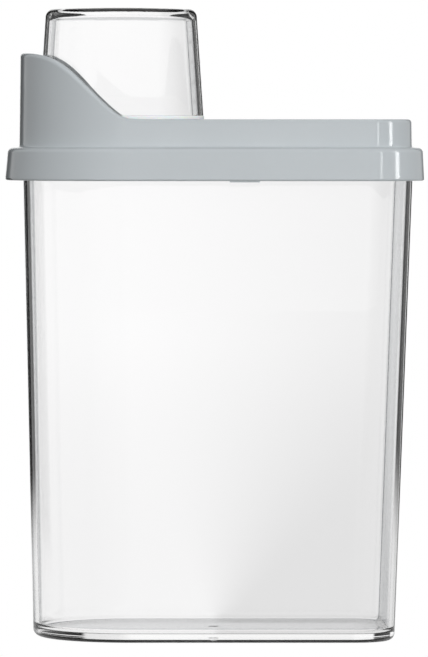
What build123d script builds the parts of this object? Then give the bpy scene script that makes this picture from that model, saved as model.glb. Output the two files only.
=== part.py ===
from build123d import *
import os
from math import radians, tan
from typing import NamedTuple

# A pet food bin: a clear tank, a two-tier lid with a spout collar, and a measuring cup that stands
# upside down in the collar and closes the pour opening. Millimetres, +Z up, front at -Y, spout at -X.
# The origin is the middle of the footprint, on the surface that the tank stands on.


class Station(NamedTuple):
    """A plan outline at one height: a rectangle with a larger corner radius at the spout end."""

    z: float
    left: float
    right: float
    depth: float
    spout_radius: float
    far_radius: float


# Tank
TANK_FOOT = Station(z=0, left=-70.5, right=70.1, depth=78.8, spout_radius=38.5, far_radius=15.5)
TANK_RIM = Station(z=188.3, left=-74.4, right=77.2, depth=86.4, spout_radius=38.5, far_radius=15.5)
TANK_WALL = 2.2
FOOT_RECESS = 1.2
FOOT_RING_WIDTH = 6.0
FLOOR_THICKNESS = 2.2
FOOT_ROUND = 2.8
FLOOR_ROUND = 2.4
RIM_ROUND = 0.5
BEAD_Z = 183.0
BEAD_HEIGHT = 2.0
BEAD_PROUD = 0.8
GATE_RADIUS = 2.6
GATE_DEPTH = 1.0

# Lid
SKIRT_HEM = Station(z=178.1, left=-81.4, right=81.4, depth=96.0, spout_radius=47.0, far_radius=21.0)
SKIRT_TOP = Station(z=190.8, left=-80.2, right=80.8, depth=93.6, spout_radius=45.8, far_radius=20.1)
CROWN_FOOT = Station(z=190.8, left=-75.8, right=76.6, depth=85.0, spout_radius=41.5, far_radius=16.5)
CROWN_PEAK = Station(z=230.0, left=-75.3, right=76.0, depth=83.6, spout_radius=40.8, far_radius=15.5)
PLATE_TOP = 201.8
PLATE_RECESS = 0.6
PLATE_LIP_ROUND = 0.5
COLLAR_TOP = 227.6
LID_WALL = 2.2
COLLAR_WALL = 2.4
SKIRT_ROUND = 2.0
HEM_ROUND = 0.8
CROWN_ROUND = 1.4
LEDGE_ROUND = 0.9
TAB_WIDTH = 11.5
TAB_HEIGHT = 2.5
TAB_DROP = 0.5
TAB_X = 12.0

# The S curve from the collar's top down to the plate. Each point is an x and a drop below the
# collar's top, or a rise above the plate.
CURVE_START_X = -76.0
CURVE_BROW = (-62.0, 2.4)
CURVE_SLOPE = (-46.5, 15.0)
CURVE_TOE = (-37.3, 2.4)
CURVE_END_X = -24.0

# Lid gasket, on the plug wall inside the tank's mouth
GASKET_LOW = 180.4
GASKET_HEIGHT = 5.8
GASKET_GAP = 0.3
GASKET_THICKNESS = 1.0
FIN_PROUD = 0.7
FIN_HEIGHT = 0.9
PLUG_WALL = 1.8
PLUG_LOW = 179.6

# Measuring cup
CUP_X = -35.9
CUP_LENGTH = 64.0
CUP_DEPTH = 60.0
CUP_SPOUT_RADIUS = 22.0
CUP_FAR_RADIUS = 17.0
CUP_TOP = 245.3
CUP_DRAFT = 3.8
CUP_WALL = 2.0
CUP_ROUND = 3.2
CUP_INSIDE_ROUND = 3.0
CUP_CROWN = 0.8
CUP_GATE_RADIUS = 2.0
CUP_GATE_DEPTH = 0.5
LIP_INSET = 0.9
LIP_DEPTH = 5.2
LIP_ROUND = 0.3
MARK_COUNT = 4
MARK_PITCH = 7.85
MARK_FIRST_Z = 208.5
MARK_PROUD = 0.45
MARK_RADIUS = 0.7
LONG_MARK = 16.0
SHORT_MARK = 10.0

# Cup seal, in the pour opening
SEAL_FLANGE = 2.0
SEAL_ROUND = 0.4
SEAL_PROUD = 0.2
SEAL_SLEEVE = 0.7
SEAL_DEPTH = 4.0
LIP_GAP = 0.2
SEAT_GAP = 0.05
WELL_WALL = 1.6
WELL_DEPTH = 6.2

# How far a cutting block runs past what it cuts, and how near counts as level
CLEAR = 10.0
TINY = 0.05

os.makedirs("parts", exist_ok=True)


def plan(station, inset=0.0):
    """A station's outline on the XY plane, pulled in by inset."""
    with BuildSketch() as outline:
        with Locations(((station.left + station.right) / 2, 0)):
            Rectangle(station.right - station.left - 2 * inset, station.depth - 2 * inset)
        fillet(outline.vertices().group_by(Axis.X)[0], station.spout_radius - inset)
        fillet(outline.vertices().group_by(Axis.X)[-1], station.far_radius - inset)
    return outline.sketch


def drafted(low, high, inset=0.0):
    """A block with flat drafted walls from one station to another and its four long edges rounded."""
    with BuildPart() as block:
        for station in (low, high):
            with BuildSketch(Plane.XY.offset(station.z)):
                with Locations(((station.left + station.right) / 2, 0)):
                    Rectangle(station.right - station.left - 2 * inset, station.depth - 2 * inset)
        loft(ruled=True)
        for end, radius in ((0, low.spout_radius), (-1, low.far_radius)):
            rising = block.edges().filter_by(lambda edge: edge.bounding_box().size.Z > high.z - low.z - TINY)
            fillet(rising.group_by(Axis.X)[end], radius - inset)
    return block.part


def between(low, high, z):
    """The station at height z on the straight drafted walls through low and high."""
    share = (z - low.z) / (high.z - low.z)
    return Station(*(a + share * (b - a) for a, b in zip(low, high)))


def tank_at(z):
    return between(TANK_FOOT, TANK_RIM, z)


def skirt_at(z):
    return between(SKIRT_HEM, SKIRT_TOP, z)


def crown_at(z):
    return between(CROWN_FOOT, CROWN_PEAK, z)


def cup_plan(inset=0.0):
    """The cup's outline at its rim, pulled in by inset."""
    half = CUP_LENGTH / 2
    return plan(
        Station(0, CUP_X - half, CUP_X + half, CUP_DEPTH, CUP_SPOUT_RADIUS, CUP_FAR_RADIUS), inset
    )


# Tank: drafted walls on a foot ring, and a bead round the rim that the skirt closes over.
floor_z = FOOT_RECESS + FLOOR_THICKNESS
tank_block = drafted(TANK_FOOT, TANK_RIM)
cavity_block = drafted(tank_at(floor_z), TANK_RIM, TANK_WALL)

with BuildPart() as tank_cavity:
    add(cavity_block)
    fillet(tank_cavity.faces().sort_by(Axis.Z)[0].edges(), FLOOR_ROUND)

with BuildPart() as tank:
    add(tank_block)
    fillet(tank.faces().sort_by(Axis.Z)[0].edges(), FOOT_ROUND)
    with BuildSketch(Plane.XY.offset(BEAD_Z)):
        add(plan(tank_at(BEAD_Z), -BEAD_PROUD))
    extrude(amount=BEAD_HEIGHT)
    bead_faces = tank.faces().filter_by(Axis.Z).filter_by_position(Axis.Z, BEAD_Z, BEAD_Z + BEAD_HEIGHT)
    bead_edges = [edge for face in bead_faces for edge in face.outer_wire().edges()]
    fillet(bead_edges, BEAD_PROUD / 2)
    add(tank_cavity.part, mode=Mode.SUBTRACT)
    fillet(tank.faces().sort_by(Axis.Z)[-1].edges(), RIM_ROUND)
    with BuildSketch():
        add(plan(TANK_FOOT, FOOT_RING_WIDTH))
    extrude(amount=FOOT_RECESS, mode=Mode.SUBTRACT)
    with Locations((0, 0, floor_z + GATE_RADIUS - GATE_DEPTH)):
        Sphere(GATE_RADIUS, mode=Mode.SUBTRACT)

tank.part.label = "tank"
export_step(tank.part, "parts/tank.step")

# Lid: skirt tier, upper tier and collar, then the hollows under them.
with BuildPart() as lid:
    for station in (SKIRT_HEM, SKIRT_TOP):
        with BuildSketch(Plane.XY.offset(station.z)):
            add(plan(station))
    loft(ruled=True)
    fillet(lid.faces().sort_by(Axis.Z)[-1].edges(), SKIRT_ROUND)
    fillet(lid.faces().sort_by(Axis.Z)[0].edges(), HEM_ROUND)

# The upper tier's block is cut by the S curve that falls from the collar's top to the plate.
with BuildPart() as crown:
    for station in (CROWN_FOOT, CROWN_PEAK):
        with BuildSketch(Plane.XY.offset(station.z)):
            add(plan(station))
    loft(ruled=True)
    with BuildSketch(Plane.XZ.offset(-SKIRT_HEM.depth / 2)):
        with BuildLine():
            level = Line((SKIRT_HEM.left - CLEAR, COLLAR_TOP), (CURVE_START_X, COLLAR_TOP))
            fall = Spline(
                level @ 1,
                (CURVE_BROW[0], COLLAR_TOP - CURVE_BROW[1]),
                (CURVE_SLOPE[0], COLLAR_TOP - CURVE_SLOPE[1]),
                (CURVE_TOE[0], PLATE_TOP + CURVE_TOE[1]),
                (CURVE_END_X, PLATE_TOP),
                tangents=((1, 0), (1, 0)),
            )
            Polyline(
                fall @ 1,
                (SKIRT_HEM.right + CLEAR, PLATE_TOP),
                (SKIRT_HEM.right + CLEAR, CROWN_PEAK.z + CLEAR),
                (SKIRT_HEM.left - CLEAR, CROWN_PEAK.z + CLEAR),
                level @ 0,
            )
        make_face()
    extrude(amount=SKIRT_HEM.depth, mode=Mode.SUBTRACT)
    rim = crown.edges().filter_by(GeomType.LINE, reverse=True)
    fillet(rim.filter_by(lambda edge: edge.bounding_box().min.Z > PLATE_TOP - TINY), CROWN_ROUND)

# Inside the collar and its low border the plate is recessed a little.
plate_z = PLATE_TOP - PLATE_RECESS
with BuildPart() as collar_hollow:
    for z in (plate_z, CROWN_PEAK.z):
        with BuildSketch(Plane.XY.offset(z)):
            add(plan(crown_at(z), COLLAR_WALL))
    loft(ruled=True)

# The hollows open downward: one behind the skirt and one inside the upper tier.
ledge_z = SKIRT_TOP.z
with BuildPart() as skirt_hollow:
    for z in (SKIRT_HEM.z, ledge_z - LID_WALL):
        with BuildSketch(Plane.XY.offset(z)):
            add(plan(skirt_at(z), LID_WALL))
    loft(ruled=True)

with BuildPart() as crown_hollow:
    for z in (ledge_z - LID_WALL, plate_z - LID_WALL):
        with BuildSketch(Plane.XY.offset(z)):
            add(plan(crown_at(z), COLLAR_WALL))
    loft(ruled=True)

plug_inset = TANK_WALL + GASKET_GAP + GASKET_THICKNESS + FIN_PROUD
mouth = tank_at(GASKET_LOW)
plate_under = plate_z - LID_WALL
with lid:
    add(crown.part)
    junction = lid.faces().filter_by(Axis.Z).filter_by_position(Axis.Z, ledge_z - TINY, ledge_z + TINY)
    fillet(junction.sort_by(SortBy.AREA)[-1].inner_wires()[0].edges(), LEDGE_ROUND)
    add(collar_hollow.part, mode=Mode.SUBTRACT)
    recess_walls = lid.faces(Select.LAST).filter_by(GeomType.BSPLINE)
    lip = recess_walls.edges().filter_by(lambda edge: edge.bounding_box().min.Z > plate_z + TINY)
    fillet(lip, PLATE_LIP_ROUND)
    add(skirt_hollow.part, mode=Mode.SUBTRACT)
    add(crown_hollow.part, mode=Mode.SUBTRACT)
    # The plug wall, which carries the gasket into the tank's mouth.
    with BuildSketch(Plane.XY.offset(PLUG_LOW)):
        add(plan(mouth, plug_inset))
        add(plan(mouth, plug_inset + PLUG_WALL), mode=Mode.SUBTRACT)
    extrude(amount=plate_under - PLUG_LOW)
    # The well round the pour opening.
    with BuildSketch(Plane.XY.offset(plate_z - WELL_DEPTH)):
        add(cup_plan(LIP_INSET - LIP_GAP - SEAL_SLEEVE - WELL_WALL))
    extrude(amount=WELL_DEPTH - LID_WALL)
    with BuildSketch(Plane.XY.offset(plate_z - WELL_DEPTH)):
        add(cup_plan(LIP_INSET - LIP_GAP - SEAL_SLEEVE))
    extrude(amount=WELL_DEPTH, mode=Mode.SUBTRACT)
    # A small tab at the hem for a fingertip.
    with BuildSketch(Plane.XY.offset(SKIRT_HEM.z - TAB_DROP)):
        with Locations((TAB_X, -SKIRT_HEM.depth / 2 + HEM_ROUND + LID_WALL / 2)):
            Rectangle(TAB_WIDTH, LID_WALL - HEM_ROUND)
    extrude(amount=TAB_HEIGHT)

lid.part.label = "lid"
export_step(lid.part, "parts/lid.step")

# Lid gasket: a soft ring round the plug wall with two fins towards the tank.
with BuildPart() as lid_gasket:
    with BuildSketch(Plane.XY.offset(GASKET_LOW)):
        add(plan(mouth, plug_inset - GASKET_THICKNESS))
        add(plan(mouth, plug_inset), mode=Mode.SUBTRACT)
    extrude(amount=GASKET_HEIGHT)
    for fin_z in (GASKET_LOW + FIN_HEIGHT, GASKET_LOW + GASKET_HEIGHT - 2 * FIN_HEIGHT):
        with BuildSketch(Plane.XY.offset(fin_z)):
            add(plan(mouth, plug_inset - GASKET_THICKNESS - FIN_PROUD))
            add(plan(mouth, plug_inset), mode=Mode.SUBTRACT)
        extrude(amount=FIN_HEIGHT)

lid_gasket.part.label = "lid_gasket"
export_step(lid_gasket.part, "parts/lid_gasket.step")

# Cup seal: a flange on the plate and a sleeve down the pour opening.
with BuildPart() as cup_seal:
    with BuildSketch(Plane.XY.offset(plate_z)):
        add(cup_plan(-SEAL_PROUD))
    extrude(amount=SEAL_FLANGE)
    fillet(cup_seal.faces().sort_by(Axis.Z)[-1].edges(), SEAL_ROUND)
    with BuildSketch(Plane.XY.offset(plate_z)):
        add(cup_plan(LIP_INSET - LIP_GAP - SEAL_SLEEVE))
    extrude(amount=-SEAL_DEPTH)
    with BuildSketch(Plane.XY.offset(plate_z - SEAL_DEPTH)):
        add(cup_plan(LIP_INSET - LIP_GAP))
    extrude(amount=SEAL_DEPTH + SEAL_FLANGE, mode=Mode.SUBTRACT)

cup_seal.part.label = "cup_seal"
export_step(cup_seal.part, "parts/cup_seal.step")

# Measuring cup, upside down: its shoulder rests on the seal and its lip goes into the opening.
shoulder_z = plate_z + SEAL_FLANGE + SEAT_GAP
cup_height = CUP_TOP - shoulder_z
crown_radius = (CUP_DEPTH / 2) ** 2 / (2 * CUP_CROWN)
with BuildPart() as cup_cavity:
    with BuildSketch(Plane.XY.offset(shoulder_z)):
        add(cup_plan(CUP_WALL))
    extrude(amount=cup_height, taper=CUP_DRAFT)
    with Locations((CUP_X, 0, CUP_TOP - CUP_WALL - crown_radius)):
        Sphere(crown_radius, mode=Mode.INTERSECT)
    fillet(cup_cavity.faces().sort_by(Axis.Z)[-1].edges(), CUP_INSIDE_ROUND)
    with BuildSketch(Plane.XY.offset(shoulder_z)):
        add(cup_plan(CUP_WALL))
    extrude(amount=-2 * LIP_DEPTH)

with BuildPart() as measuring_cup:
    with BuildSketch(Plane.XY.offset(shoulder_z)):
        add(cup_plan())
    extrude(amount=cup_height + CUP_WALL, taper=CUP_DRAFT)
    with Locations((CUP_X, 0, CUP_TOP - crown_radius)):
        Sphere(crown_radius, mode=Mode.INTERSECT)
    fillet(measuring_cup.faces().sort_by(Axis.Z)[-1].edges(), CUP_ROUND)
    with BuildSketch(Plane.XY.offset(shoulder_z)):
        add(cup_plan(LIP_INSET))
    extrude(amount=-LIP_DEPTH)
    fillet(measuring_cup.faces().sort_by(Axis.Z)[0].edges(), LIP_ROUND)
    add(cup_cavity.part, mode=Mode.SUBTRACT)
    with Locations((CUP_X, 0, CUP_TOP + CUP_GATE_RADIUS - CUP_GATE_DEPTH)):
        Sphere(CUP_GATE_RADIUS, mode=Mode.SUBTRACT)
    # Graduation ribs across the wall that faces away from the spout.
    for index in range(MARK_COUNT):
        mark_z = MARK_FIRST_Z + index * MARK_PITCH
        wall_x = CUP_X + CUP_LENGTH / 2 - (mark_z - shoulder_z) * tan(radians(CUP_DRAFT))
        length = LONG_MARK if index % 2 else SHORT_MARK
        with Locations((wall_x + MARK_PROUD - MARK_RADIUS, 0, mark_z)):
            Cylinder(MARK_RADIUS, length, rotation=(90, 0, 0))

measuring_cup.part.label = "measuring_cup"
export_step(measuring_cup.part, "parts/measuring_cup.step")
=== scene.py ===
import math

import bpy
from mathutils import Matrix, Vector


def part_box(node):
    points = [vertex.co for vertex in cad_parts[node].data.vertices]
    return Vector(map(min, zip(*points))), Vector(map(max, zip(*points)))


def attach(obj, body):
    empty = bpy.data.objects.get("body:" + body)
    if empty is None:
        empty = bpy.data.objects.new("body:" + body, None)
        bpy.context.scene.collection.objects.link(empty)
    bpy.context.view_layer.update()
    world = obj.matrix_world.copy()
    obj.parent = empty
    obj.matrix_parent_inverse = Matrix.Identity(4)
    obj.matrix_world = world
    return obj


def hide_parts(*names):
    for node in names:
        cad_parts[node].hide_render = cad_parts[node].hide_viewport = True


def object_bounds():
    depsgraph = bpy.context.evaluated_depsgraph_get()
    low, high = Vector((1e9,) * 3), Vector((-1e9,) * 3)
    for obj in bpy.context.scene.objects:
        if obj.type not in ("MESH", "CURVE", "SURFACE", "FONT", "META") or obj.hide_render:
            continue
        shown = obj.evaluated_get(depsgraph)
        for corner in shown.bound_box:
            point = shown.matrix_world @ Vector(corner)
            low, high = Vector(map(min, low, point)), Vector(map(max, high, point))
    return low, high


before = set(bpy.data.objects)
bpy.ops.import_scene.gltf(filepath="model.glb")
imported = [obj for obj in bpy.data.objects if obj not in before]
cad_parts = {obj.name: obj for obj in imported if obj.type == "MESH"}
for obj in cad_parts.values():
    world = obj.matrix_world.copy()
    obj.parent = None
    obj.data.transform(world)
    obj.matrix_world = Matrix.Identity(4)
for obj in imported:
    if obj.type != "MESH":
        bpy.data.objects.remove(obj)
cad_low, cad_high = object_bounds()
MIDDLE = (cad_low + cad_high) / 2
WHITE = (1, 1, 1, 1)

# Camera: level with the lid, a little over two metres in front, tilted down a little.
CAMERA_DISTANCE = 2.293
CAMERA_HEIGHT = 0.1997
CAMERA_X = 0.0002
CAMERA_TILT = math.radians(1.99)
CAMERA_LENS = 321.4
CAMERA_SENSOR = 36
CAMERA_CLIP = (0.1, 50)

# Clear plastic. Its tint goes by how far the surface turns from the view: 0 is square on. The dark
# stops are painted shade along the wall's edge at a grazing view, not a colour of the plastic.
CLEAR_IOR = 1.5
CLEAR_TINT = (0.996, 0.995, 0.996)
CLEAR_PAINTED_EDGE_SHADE = (
    (0.0, CLEAR_TINT),
    (0.74, CLEAR_TINT),
    (0.79, (0.5, 0.51, 0.52)),
    (0.83, (0.16, 0.17, 0.18)),
    (0.92, (0.08, 0.09, 0.1)),
    (0.95, CLEAR_TINT),
)
HAZE_SCALE = 18
HAZE_ROUGHNESS = (0.0, 0.012)
WAVE_SCALE = 9
WAVE_STRETCH = (1, 1, 0.25)
WAVE_BUMP = (0.05, 0.00005)

# Lid plastic. A bump is a strength and a distance in metres.
LID_IOR = 1.49
LID_TINT = ((0.3, (0.495, 0.532, 0.553)), (0.7, (0.515, 0.552, 0.573)))
LID_TINT_SCALE = 14
LID_GLOSS_SCALE = 60
LID_ROUGHNESS = (0.08, 0.13)
PEEL_SCALE = 900
PEEL_BUMP = (0.05, 0.0001)

# Seal silicone.
SEAL_TINT = ((0.0, (0.86, 0.87, 0.87)), (1.0, (0.92, 0.92, 0.915)))
SEAL_TINT_SCALE = 40
SEAL_ROUGHNESS = (0.45, 0.6)
SEAL_SCATTER = 0.3
SEAL_SCATTER_DEPTH = 0.002
SEAL_GRAIN_SCALE = 500
SEAL_BUMP = (0.1, 0.0001)

# The range in which most of a noise texture lies.
NOISE_RANGE = (0.3, 0.7)

# The tank in millimetres, as its CAD node is: left, right and half depth at the foot and the rim.
MM = 0.001
TANK_FOOT = (-70.5, 70.1, 39.4)
TANK_RIM = (-74.4, 77.2, 43.2)
TANK_HEIGHT = (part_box("tank")[1].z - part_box("tank")[0].z) / MM
TANK_SPOUT_ROUND = 38.5
TANK_FAR_ROUND = 15.5
TANK_WALL = 2.2
TANK_FLOOR = 3.4
FOOT_RECESS = 1.2
FOOT_RING = 6.0
FOOT_ROUND = 2.8
FLOOR_ROUND = 2.4
RIM_ROUND = 0.5
BEAD_LOW = 183.0
BEAD_HIGH = 185.0
BEAD_PROUD = 0.8
BEAD_ROUND = 0.4
SMALL_ROUND = 0.2
GATE_RADIUS = 2.6
GATE_DEPTH = 1.0

# How finely the tank is divided, and the rings across its floor as shares of the ring they fill.
ARC_STEPS = 24
FLAT_STEPS = 6
ROUND_STEPS = 8
WALL_STEPS = 10
UNDER_SHARES = (0.3, 0.6, 0.85)
FLOOR_SHARES = (0.8, 0.55, 0.3)
GATE_SHARES = (1.3, 1.04)

# The room's brightness by direction from the object. X goes from -1 at the left to 1 at the right,
# Y from -1 in front to 1 behind, and Z up. Each pair of directions is where a change starts and ends.
WALL_FADE = (-0.04, 0.09)
WALL_RIGHT = 0.83
BEHIND_EDGE = (-0.1, 0.1)
FRONT_EDGE = (-0.4, 0.0)
FRONT = 0.95
LEFT_EDGE = (-0.9, -0.3)
LEFT_MIRRORED = 0.6
# The gap at each side of the wall behind, which only mirrored light meets.
GAP_INNER = (0.17, 0.27)
GAP_OUTER = (0.5, 0.6)
GAP_MIRRORED = 0.05
# The slots, which only light led through a wall of clear plastic meets.
SLOTS = ((-0.2, -0.66), (0.3, 0.85))
SLOT_SOFT = 0.05
SLOT_LEVEL = 0.0
# The light on dull surfaces.
DULL_RISE = (-1.0, 1.0)
DULL_SIDES = (0.0, 0.85)
DULL_DEPTH = (-0.2, 0.8)
DULL_ENDS = (0.25, 1.6)
UPWARD_EDGE = (0.3, 0.9)
DULL_TOP = 0.85

# The floor, in metres: how far off its light goes darker, and how far off the gap and slots show.
FLOOR_SIZE = 8
FLOOR_DROP = 0.0004
FLOOR_REACH = (0.3, 3.5)
FLOOR_LEVEL = 0.93
FLOOR_GAP = (0.3, 1.0)

# A soft light nearly straight in front, which only dull surfaces take: metres and radiance.
SOFTBOX_X = 0.15
SOFTBOX_DISTANCE = 3.0
SOFTBOX_SIZE = (1.2, 1.2)
SOFTBOX_RADIANCE = 23

# Strip lights: name, degrees to the right of the front, width in metres, radiance.
STRIPS = (("narrow_strip", 24, 0.2, 6), ("broad_strip", 60, 0.5, 11))
STRIP_DISTANCE = 3.0
STRIP_HEIGHT = 2.6
STRIP_RISE = 0.6


def make_material(name):
    """A material, its node tree and its Principled shader."""
    material = bpy.data.materials.new(name)
    material.use_nodes = True
    tree = material.node_tree
    return material, tree, tree.nodes["Principled BSDF"]


def node(tree, kind, **inputs):
    """Adds a node and sets its inputs by name, with spaces written as underscores."""
    made = tree.nodes.new(kind)
    for name, value in inputs.items():
        made.inputs[name.replace("_", " ")].default_value = value
    return made


def link(tree, source, output, target, socket):
    tree.links.new(source.outputs[output], target.inputs[socket])


def noise(tree, scale, detail, stretch=(1, 1, 1)):
    """Noise over the piece's own coordinates."""
    coordinates = tree.nodes.new("ShaderNodeTexCoord")
    mapping = node(tree, "ShaderNodeMapping", Scale=stretch)
    texture = node(tree, "ShaderNodeTexNoise", Scale=scale, Detail=detail)
    link(tree, coordinates, "Object", mapping, "Vector")
    link(tree, mapping, "Vector", texture, "Vector")
    return texture


def roughen(tree, shader, texture, low, high):
    """Takes the roughness from low to high over a texture's middle range."""
    start, end = NOISE_RANGE
    mapped = node(tree, "ShaderNodeMapRange", From_Min=start, From_Max=end, To_Min=low, To_Max=high)
    link(tree, texture, "Fac", mapped, "Value")
    link(tree, mapped, "Result", shader, "Roughness")


def bump(tree, shader, texture, strength, distance):
    bumped = node(tree, "ShaderNodeBump", Strength=strength, Distance=distance)
    link(tree, texture, "Fac", bumped, "Height")
    link(tree, bumped, "Normal", shader, "Normal")


def colour(tree, shader, source, output, stops):
    """Colours the shader by a ramp over the source. A stop is a position and a colour."""
    ramp = node(tree, "ShaderNodeValToRGB")
    elements = ramp.color_ramp.elements
    while len(elements) < len(stops):
        elements.new(1.0)
    for element, (position, tint) in zip(elements, stops):
        element.position = position
        element.color = (*tint, 1)
    link(tree, source, output, ramp, "Fac")
    link(tree, ramp, "Color", shader, "Base Color")


def clear_plastic():
    """Clear moulded styrene: smooth, with faint flow waves. At a grazing view the wall's edge is
    painted dark, a painted shade that stands in for dark surroundings seen in the plastic, but for the
    bright line at its very rim."""
    material, tree, shader = make_material("clear_plastic")
    shader.inputs["IOR"].default_value = CLEAR_IOR
    shader.inputs["Transmission Weight"].default_value = 1.0
    roughen(tree, shader, noise(tree, HAZE_SCALE, 3), *HAZE_ROUGHNESS)
    bump(tree, shader, noise(tree, WAVE_SCALE, 1, WAVE_STRETCH), *WAVE_BUMP)
    facing = node(tree, "ShaderNodeLayerWeight", Blend=0.5)
    # Painted shade: the base colour goes dark where the surface turns away from the view.
    colour(tree, shader, facing, "Facing", CLEAR_PAINTED_EDGE_SHADE)
    return material


def lid_plastic():
    """Glossy grey-blue moulded plastic with a faint orange peel."""
    material, tree, shader = make_material("lid_plastic")
    shader.inputs["IOR"].default_value = LID_IOR
    colour(tree, shader, noise(tree, LID_TINT_SCALE, 4), "Fac", LID_TINT)
    roughen(tree, shader, noise(tree, LID_GLOSS_SCALE, 4), *LID_ROUGHNESS)
    bump(tree, shader, noise(tree, PEEL_SCALE, 2), *PEEL_BUMP)
    return material


def seal_silicone():
    """Soft translucent white silicone."""
    material, tree, shader = make_material("seal_silicone")
    shader.inputs["Subsurface Weight"].default_value = SEAL_SCATTER
    shader.inputs["Subsurface Scale"].default_value = SEAL_SCATTER_DEPTH
    tint = noise(tree, SEAL_TINT_SCALE, 3)
    colour(tree, shader, tint, "Fac", SEAL_TINT)
    roughen(tree, shader, tint, *SEAL_ROUGHNESS)
    bump(tree, shader, noise(tree, SEAL_GRAIN_SCALE, 2), *SEAL_BUMP)
    return material


def dress(names, material):
    """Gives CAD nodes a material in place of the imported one."""
    for name in names:
        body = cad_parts[name]
        body.data.materials.clear()
        body.data.materials.append(material)


def add_area(name, place, size, radiance):
    """A rectangular light that faces the object's middle and that no ray from the camera or
    through clear plastic meets."""
    light = bpy.data.lights.new(name, "AREA")
    light.shape = "RECTANGLE"
    light.size, light.size_y = size
    light.energy = radiance * math.pi * size[0] * size[1]
    lamp = bpy.data.objects.new(name, light)
    lamp.location = place
    lamp.rotation_euler = (MIDDLE - Vector(place)).to_track_quat("-Z", "Y").to_euler()
    lamp.visible_camera = False
    lamp.visible_transmission = False
    bpy.context.collection.objects.link(lamp)
    return lamp


def feed(tree, socket, value):
    """Gives an input socket a number, or links it to an output socket."""
    if isinstance(value, bpy.types.NodeSocket):
        tree.links.new(value, socket)
    else:
        socket.default_value = value


def calculate(tree, operation, first, second=0.0):
    made = tree.nodes.new("ShaderNodeMath")
    made.operation = operation
    feed(tree, made.inputs[0], first)
    feed(tree, made.inputs[1], second)
    return made.outputs[0]


def product(tree, first, *others):
    for other in others:
        first = calculate(tree, "MULTIPLY", first, other)
    return first


def smooth_step(tree, value, span, low=0.0, high=1.0):
    """Eases from low to high as the value goes from one end of the span to the other."""
    start, end = span
    made = node(tree, "ShaderNodeMapRange", From_Min=start, From_Max=end, To_Min=low, To_Max=high)
    made.interpolation_type = "SMOOTHSTEP"
    feed(tree, made.inputs["Value"], value)
    return made.outputs[0]


def mix(tree, factor, first, second):
    made = tree.nodes.new("ShaderNodeMix")
    for name, value in (("Factor", factor), ("A", first), ("B", second)):
        feed(tree, made.inputs[name], value)
    return made.outputs[0]


def gap_share(tree, x):
    """One in the gap at either side of the wall behind, and nought elsewhere."""
    side = calculate(tree, "ABSOLUTE", x)
    beyond_wall = smooth_step(tree, side, GAP_INNER)
    before_side = smooth_step(tree, side, GAP_OUTER, 1.0, 0.0)
    return product(tree, beyond_wall, before_side)


def slot_share(tree, x, path):
    """One in a slot, for light that was mirrored inside a wall of clear plastic on its way."""
    shares = []
    for near, far in SLOTS:
        soft = math.copysign(SLOT_SOFT, near)
        inner = smooth_step(tree, x, (near, near + soft))
        outer = smooth_step(tree, x, (far - soft, far), 1.0, 0.0)
        shares.append(product(tree, inner, outer))
    led = calculate(tree, "GREATER_THAN", path["Glossy Depth"], 0.5)
    return product(tree, calculate(tree, "ADD", *shares), led)


def room_light(tree, floor=False):
    """The room's strength in a direction from the object. The camera sees plain white. Clear and
    glossy surfaces see a white wall behind, a pale front, and the gap or the slots. Dull surfaces
    are lit from behind and from the right. The floor has the light of the wall behind it, and goes
    a little darker towards the object."""
    where = tree.nodes.new("ShaderNodeTexCoord").outputs
    path = tree.nodes.new("ShaderNodeLightPath").outputs
    axes = tree.nodes.new("ShaderNodeSeparateXYZ")
    x, y, z = axes.outputs
    if floor:
        heading = tree.nodes.new("ShaderNodeVectorMath")
        heading.operation = "NORMALIZE"
        feed(tree, heading.inputs[0], where["Object"])
        feed(tree, axes.inputs[0], heading.outputs[0])
        length = tree.nodes.new("ShaderNodeVectorMath")
        length.operation = "LENGTH"
        feed(tree, length.inputs[0], where["Object"])
        reach = length.outputs["Value"]
        parting = smooth_step(tree, reach, FLOOR_GAP)
        nearing = smooth_step(tree, reach, FLOOR_REACH, FLOOR_LEVEL, 1.0)
    else:
        feed(tree, axes.inputs[0], where["Generated"])
        parting = nearing = 1.0

    mirrored = path["Is Reflection Ray"]
    wall = smooth_step(tree, x, WALL_FADE, 1.0, WALL_RIGHT)
    behind = smooth_step(tree, y, BEHIND_EDGE)
    gap = product(tree, gap_share(tree, x), behind, parting)
    slots = product(tree, slot_share(tree, x, path), behind, parting)
    through_wall = mix(tree, slots, wall, SLOT_LEVEL)
    off_surface = mix(tree, gap, wall, GAP_MIRRORED)
    clear = mix(tree, mirrored, through_wall, off_surface)
    front = smooth_step(tree, y, FRONT_EDGE, FRONT, 1.0)
    left = mix(tree, mirrored, 1.0, smooth_step(tree, x, LEFT_EDGE, LEFT_MIRRORED, 1.0))
    clear = product(tree, clear, front, left, nearing)

    sides = smooth_step(tree, x, DULL_RISE, *DULL_SIDES)
    ends = smooth_step(tree, y, DULL_DEPTH, *DULL_ENDS)
    upward = smooth_step(tree, z, UPWARD_EDGE)
    dull = mix(tree, upward, product(tree, sides, ends), DULL_TOP)

    shiny = calculate(tree, "MAXIMUM", path["Is Glossy Ray"], path["Is Transmission Ray"])
    strength = mix(tree, shiny, dull, clear)
    return mix(tree, path["Is Camera Ray"], strength, 1.0)


def turn(z, inset, radius, start, end, hollow=False):
    """Profile points round an arc's centre. A profile point is a height, an inset from the wall's
    outer face and the surface's direction: 0 is outward, 90 up, -90 down and 180 inward."""
    side = -1 if hollow else 1
    points = []
    for step in range(ROUND_STEPS + 1):
        facing = start + (end - start) * step / ROUND_STEPS
        out, rise = math.cos(math.radians(facing)), math.sin(math.radians(facing))
        points.append((z + side * radius * rise, inset - side * radius * out, facing))
    return points


def run(low, high, inset, facing):
    """Profile points up or down a wall, without its two ends."""
    return [(low + (high - low) * step / WALL_STEPS, inset, facing) for step in range(1, WALL_STEPS)]


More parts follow.
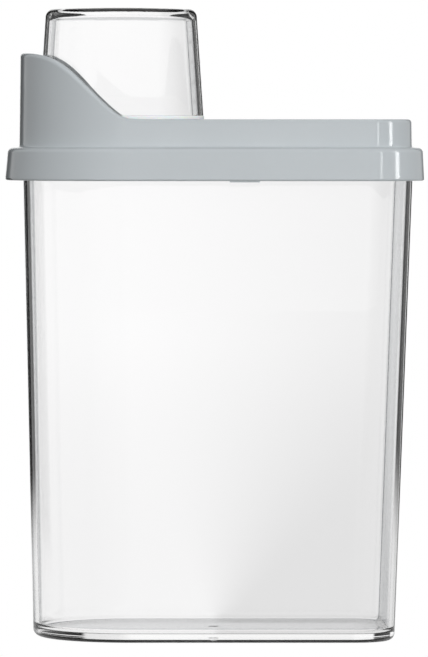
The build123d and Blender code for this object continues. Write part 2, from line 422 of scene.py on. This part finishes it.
def tank_profile():
    """The tank's wall in section, from under the floor, up the outside and down to the floor's top."""
    ring_round = SMALL_ROUND
    inner_low = TANK_FLOOR + FLOOR_ROUND
    inner_high = TANK_HEIGHT - RIM_ROUND
    points = turn(FOOT_RECESS - ring_round, FOOT_RING + ring_round, ring_round, -90, -180, hollow=True)
    points += turn(ring_round, FOOT_RING - ring_round, ring_round, -180, -90)
    points += turn(FOOT_ROUND, FOOT_ROUND, FOOT_ROUND, -90, 0)
    points += run(FOOT_ROUND, BEAD_LOW - SMALL_ROUND, 0, 0)
    points += turn(BEAD_LOW - SMALL_ROUND, -SMALL_ROUND, SMALL_ROUND, 0, -90, hollow=True)
    points += turn(BEAD_LOW + BEAD_ROUND, BEAD_ROUND - BEAD_PROUD, BEAD_ROUND, -90, 0)
    points += turn(BEAD_HIGH - BEAD_ROUND, BEAD_ROUND - BEAD_PROUD, BEAD_ROUND, 0, 90)
    points += turn(BEAD_HIGH + SMALL_ROUND, -SMALL_ROUND, SMALL_ROUND, 90, 0, hollow=True)
    points += turn(inner_high, RIM_ROUND, RIM_ROUND, 0, 90)
    points += turn(inner_high, TANK_WALL - RIM_ROUND, RIM_ROUND, 90, 180)
    points += run(inner_high, inner_low, TANK_WALL, 180)
    points += turn(inner_low, TANK_WALL + FLOOR_ROUND, FLOOR_ROUND, 180, 90, hollow=True)
    return points


def tank_ring(z, inset, facing):
    """Places and normals round the tank's outline, for one profile point."""
    share = z / TANK_HEIGHT
    left, right, half = (low + share * (high - low) for low, high in zip(TANK_FOOT, TANK_RIM))
    leans = ((high - low) / TANK_HEIGHT for low, high in zip(TANK_FOOT, TANK_RIM))
    left_lean, right_lean, side_lean = leans
    far, spout = TANK_FAR_ROUND, TANK_SPOUT_ROUND
    corners = (
        (right - far, half - far, far, right_lean, side_lean),
        (left + spout, half - spout, spout, left_lean, side_lean),
        (left + spout, spout - half, spout, left_lean, -side_lean),
        (right - far, far - half, far, right_lean, -side_lean),
    )
    out, rise = math.cos(math.radians(facing)), math.sin(math.radians(facing))
    arcs = []
    for corner, (x, y, radius, lean_x, lean_y) in enumerate(corners):
        arc = []
        for step in range(ARC_STEPS + 1):
            angle = math.pi / 2 * (corner + step / ARC_STEPS)
            across, along = math.cos(angle), math.sin(angle)
            place = Vector((x + (radius - inset) * across, y + (radius - inset) * along, z))
            wall = Vector((across, along, -across * lean_x - along * lean_y))
            arc.append((place, (out * wall + Vector((0, 0, rise))).normalized()))
        arcs.append(arc)
    ring = []
    for arc, following in zip(arcs, arcs[1:] + arcs[:1]):
        ring += arc
        start, end = arc[-1], following[0]
        for step in range(1, FLAT_STEPS):
            ring.append((start[0].lerp(end[0], step / FLAT_STEPS), start[1]))
    return ring


def drawn_in(ring, shares, z, normal):
    """Flat copies of a ring at one height, each a share of its size."""
    rings = []
    for share in shares:
        rings.append([(Vector((place.x * share, place.y * share, z)), normal) for place, _ in ring])
    return rings


def gate_rings(ring):
    """The floor from its round edge in to the gate mark, and the mark's round hollow."""
    up = Vector((0, 0, 1))
    centre = Vector((0, 0, TANK_FLOOR + GATE_RADIUS - GATE_DEPTH))
    mouth = math.sqrt(GATE_RADIUS ** 2 - (GATE_RADIUS - GATE_DEPTH) ** 2)
    rings = drawn_in(ring, FLOOR_SHARES, TANK_FLOOR, up)
    outward = [place.xy.normalized().to_3d() for place, _ in ring]
    for share in GATE_SHARES:
        rings.append([(way * (mouth * share) + up * TANK_FLOOR, up) for way in outward])
    for step in range(ROUND_STEPS):
        radius = mouth * (1 - step / ROUND_STEPS)
        depth = math.sqrt(GATE_RADIUS ** 2 - radius ** 2)
        hollow = []
        for way in outward:
            point = centre + way * radius - up * depth
            hollow.append((point, (centre - point).normalized()))
        rings.append(hollow)
    return rings


def make_tank(material):
    """The tank as one closed shell of quads in rings, so that the light bends evenly in its walls."""
    rings = [tank_ring(*point) for point in tank_profile()]
    down = Vector((0, 0, -1))
    under = drawn_in(rings[0], UNDER_SHARES, FOOT_RECESS, down)
    rings = under + rings + gate_rings(rings[-1])
    count = len(rings[0])
    ends = [(Vector((0, 0, FOOT_RECESS)), down), (Vector((0, 0, TANK_FLOOR - GATE_DEPTH)), -down)]
    points = [point for ring in rings for point in ring] + ends
    last = len(rings) * count
    faces = []
    for index in range(count):
        after = (index + 1) % count
        faces.append((last, after, index))
        for row in range(0, last - count, count):
            faces.append((row + index, row + after, row + count + after, row + count + index))
        faces.append((last - count + index, last - count + after, last + 1))
    mesh = bpy.data.meshes.new("tank_shell")
    mesh.from_pydata([place * MM for place, _ in points], [], faces)
    mesh.shade_smooth()
    mesh.normals_split_custom_set_from_vertices([normal for _, normal in points])
    shell = bpy.data.objects.new("tank_shell", mesh)
    bpy.context.collection.objects.link(shell)
    shell.data.materials.append(material)
    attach(shell, "tank")
    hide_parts("tank")


def make_stage():
    """A pale floor in a white room."""
    bpy.ops.mesh.primitive_plane_add(size=FLOOR_SIZE, location=(0, 0, cad_low.z - FLOOR_DROP))
    floor = bpy.context.object
    floor.name = "floor"
    material, tree, shader = make_material("floor")
    shader.inputs["Base Color"].default_value = (0, 0, 0, 1)
    shader.inputs["Roughness"].default_value = 1.0
    shader.inputs["Specular IOR Level"].default_value = 0.0
    shader.inputs["Emission Color"].default_value = WHITE
    feed(tree, shader.inputs["Emission Strength"], room_light(tree, floor=True))
    floor.data.materials.append(material)

    world = bpy.data.worlds.new("room")
    bpy.context.scene.world = world
    world.use_nodes = True
    tree = world.node_tree
    background = tree.nodes["Background"]
    background.inputs["Color"].default_value = WHITE
    feed(tree, background.inputs["Strength"], room_light(tree))


def make_lights():
    """Two tall strip lights on the right, which draw the bright lines down the lid's corner and
    light nothing else, and a soft light in front for dull surfaces."""
    lit = bpy.data.collections.new("lit_by_strips")
    lit.objects.link(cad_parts["lid"])
    for name, degrees, width, radiance in STRIPS:
        angle = math.radians(degrees)
        place = (STRIP_DISTANCE * math.sin(angle), -STRIP_DISTANCE * math.cos(angle), STRIP_RISE)
        strip = add_area(name, place, (width, STRIP_HEIGHT), radiance)
        strip.light_linking.receiver_collection = lit
        strip.visible_diffuse = False
    place = (SOFTBOX_X, -SOFTBOX_DISTANCE, MIDDLE.z)
    softbox = add_area("softbox", place, SOFTBOX_SIZE, SOFTBOX_RADIANCE)
    softbox.visible_glossy = False


def make_camera():
    data = bpy.data.cameras.new("camera")
    data.lens = CAMERA_LENS
    data.sensor_width = CAMERA_SENSOR
    data.clip_start, data.clip_end = CAMERA_CLIP
    camera = bpy.data.objects.new("camera", data)
    camera.location = (CAMERA_X, -CAMERA_DISTANCE, CAMERA_HEIGHT)
    camera.rotation_euler = (math.pi / 2 - CAMERA_TILT, 0, 0)
    bpy.context.collection.objects.link(camera)
    bpy.context.scene.camera = camera


clear = clear_plastic()
dress(("measuring_cup",), clear)
make_tank(clear)
dress(("lid",), lid_plastic())
dress(("lid_gasket", "cup_seal"), seal_silicone())
make_stage()
make_lights()
make_camera()
bpy.context.scene.view_settings.view_transform = "Standard"
